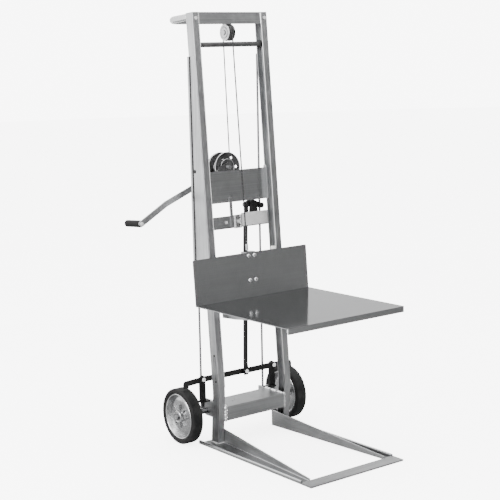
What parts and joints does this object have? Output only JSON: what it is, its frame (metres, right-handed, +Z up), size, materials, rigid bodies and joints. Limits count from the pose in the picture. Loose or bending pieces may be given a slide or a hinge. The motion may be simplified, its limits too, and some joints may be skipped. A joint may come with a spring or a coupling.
{
  "type": "winch lift truck",
  "caption": "Hand-pushed lift truck with a leaning channel mast, crank winch, wire cable over a top pulley, level load platform, flat floor frame and braked rear wheels.",
  "frame": {"origin": "on the floor at the middle of the toe bar's underside, in the truck's mid-plane", "axes": "+Z up, +Y from the toe bar back towards the wheels and push handle, +X to the left of someone pushing it"},
  "size_m": [0.6356, 0.82, 1.537],
  "materials": {
    "aluminium": "satin extruded aluminium with fine lengthwise lines",
    "deck": "dark satin rolled sheet",
    "zinc_steel": "bright zinc plated steel",
    "black_steel": "black powder coat",
    "handle_tube": "brushed tube",
    "cable": "stranded wire rope",
    "nylon": "natural nylon",
    "grip": "black moulded grip",
    "tyre": "solid black rubber",
    "hub": "light grey moulded hub"
  },
  "bodies": {
    "mast": {"axle": "zinc_steel", "axle_collars": "zinc_steel", "axle_cover": "aluminium", "brake_plate": "zinc_steel", "cable_wrap": "cable", "crank_guard": "aluminium", "frame_bolts": "zinc_steel", "guide_plate": "zinc_steel", "left_axle_bracket": "aluminium", "left_base_rail": "aluminium", "left_brace_rod": "zinc_steel", "left_brake_post": "black_steel", "left_upright": "aluminium", "pulley_bracket": "zinc_steel", "pulley_pin": "zinc_steel", "push_handle": "handle_tube", "rear_cable": "cable", "rear_crossbar": "aluminium", "right_axle_bracket": "aluminium", "right_base_rail": "aluminium", "right_brace_rod": "zinc_steel", "right_brake_post": "black_steel", "right_upright": "aluminium", "rocker_bracket": "zinc_steel", "spreader_collars": "black_steel", "spreader_tube": "black_steel", "tie_strap": "zinc_steel", "toe_bar": "aluminium", "top_crossbar": "aluminium", "winch_frame": "zinc_steel", "winch_plate": "aluminium"},
    "carriage": {"left_slide": "nylon", "right_slide": "nylon", "carriage_plate": "aluminium", "platform": "deck", "left_arm": "aluminium", "right_arm": "aluminium", "cable_anchor": "deck", "platform_bolts": "zinc_steel", "front_cable": "cable"},
    "crank": {"crank_shaft": "zinc_steel", "ratchet_wheel": "zinc_steel", "crank_arm": "zinc_steel"},
    "grip": {"crank_grip": "grip"},
    "drum": {"winch_drum": "zinc_steel", "wound_cable": "cable", "drum_gear": "zinc_steel", "drum_shaft": "zinc_steel"},
    "pulley": {"pulley": "zinc_steel"},
    "pawl": {"pawl": "zinc_steel"},
    "left_wheel": {"left_tyre": "tyre", "left_hub": "hub", "left_bearings": "zinc_steel"},
    "right_wheel": {"right_tyre": "tyre", "right_hub": "hub", "right_bearings": "zinc_steel"},
    "brake_rod": {"brake_rod": "black_steel"},
    "brake_rocker": {"brake_rocker": "black_steel"},
    "left_lever": {"left_brake_lever": "black_steel"},
    "right_lever": {"right_brake_lever": "black_steel"}
  },
  "joints": [
    {"name": "crank_turn", "type": "hinge", "parent": "mast", "child": "crank", "pos_m": [-0.06782, 0.67345, 0.94179], "axis": [0, -0.998, 0.0628], "range_deg": [-2700, 6300]},
    {"name": "drum_turn", "type": "hinge", "parent": "mast", "child": "drum", "pos_m": [-0.02, 0.6522, 0.98627], "axis": [0, 0.998, -0.0628], "range_deg": [-624, 1454]},
    {"name": "pulley_turn", "type": "hinge", "parent": "mast", "child": "pulley", "pos_m": [0, 0.63026, 1.46559], "axis": [-1, 0, 0], "range_deg": [-624, 1454]},
    {"name": "carriage_slide", "type": "slide", "parent": "mast", "child": "carriage", "axis": [0, 0.0628, 0.998], "range_m": [-0.3, 0.7], "deforming": ["front_cable"]},
    {"name": "grip_spin", "type": "hinge", "parent": "crank", "child": "grip", "pos_m": [-0.35382, 0.69822, 0.80997], "axis": [0, 0.998, -0.0628], "continuous": true},
    {"name": "pawl_lift", "type": "hinge", "parent": "mast", "child": "pawl", "pos_m": [-0.05982, 0.69193, 0.9807], "axis": [0, 0.998, -0.0628], "range_deg": [0, 30]},
    {"name": "left_wheel_spin", "type": "hinge", "parent": "mast", "child": "left_wheel", "pos_m": [-0.239, 0.654, 0.1016], "axis": [1, 0, 0], "continuous": true},
    {"name": "right_wheel_spin", "type": "hinge", "parent": "mast", "child": "right_wheel", "pos_m": [0.239, 0.654, 0.1016], "axis": [1, 0, 0], "continuous": true},
    {"name": "brake_rod_slide", "type": "slide", "parent": "mast", "child": "brake_rod", "axis": [0, 0, 1], "range_m": [0, 0.006]},
    {"name": "brake_rocker_turn", "type": "hinge", "parent": "mast", "child": "brake_rocker", "pos_m": [0.08, 0.626, 0.85], "axis": [0, 1, 0], "range_deg": [0, 12.5]},
    {"name": "left_lever_turn", "type": "hinge", "parent": "mast", "child": "left_lever", "pos_m": [-0.16, 0.631, 0.226], "axis": [0, -1, 0], "range_deg": [0, 2.2]},
    {"name": "right_lever_turn", "type": "hinge", "parent": "mast", "child": "right_lever", "pos_m": [0.16, 0.626, 0.226], "axis": [0, 1, 0], "range_deg": [0, 2.8]}
  ],
  "couplings": [
    {"joint": "drum_turn", "follows": "crank_turn", "ratio": 0.23077},
    {"joint": "pulley_turn", "follows": "crank_turn", "ratio": 0.23077},
    {"joint": "carriage_slide", "follows": "crank_turn", "m_per_rad": 0.0063462},
    {"joint": "brake_rocker_turn", "follows": "brake_rod_slide", "rad_per_m": 34.483},
    {"joint": "left_lever_turn", "follows": "brake_rod_slide", "rad_per_m": 5.3191},
    {"joint": "right_lever_turn", "follows": "brake_rod_slide", "rad_per_m": 7.5758}
  ]
}
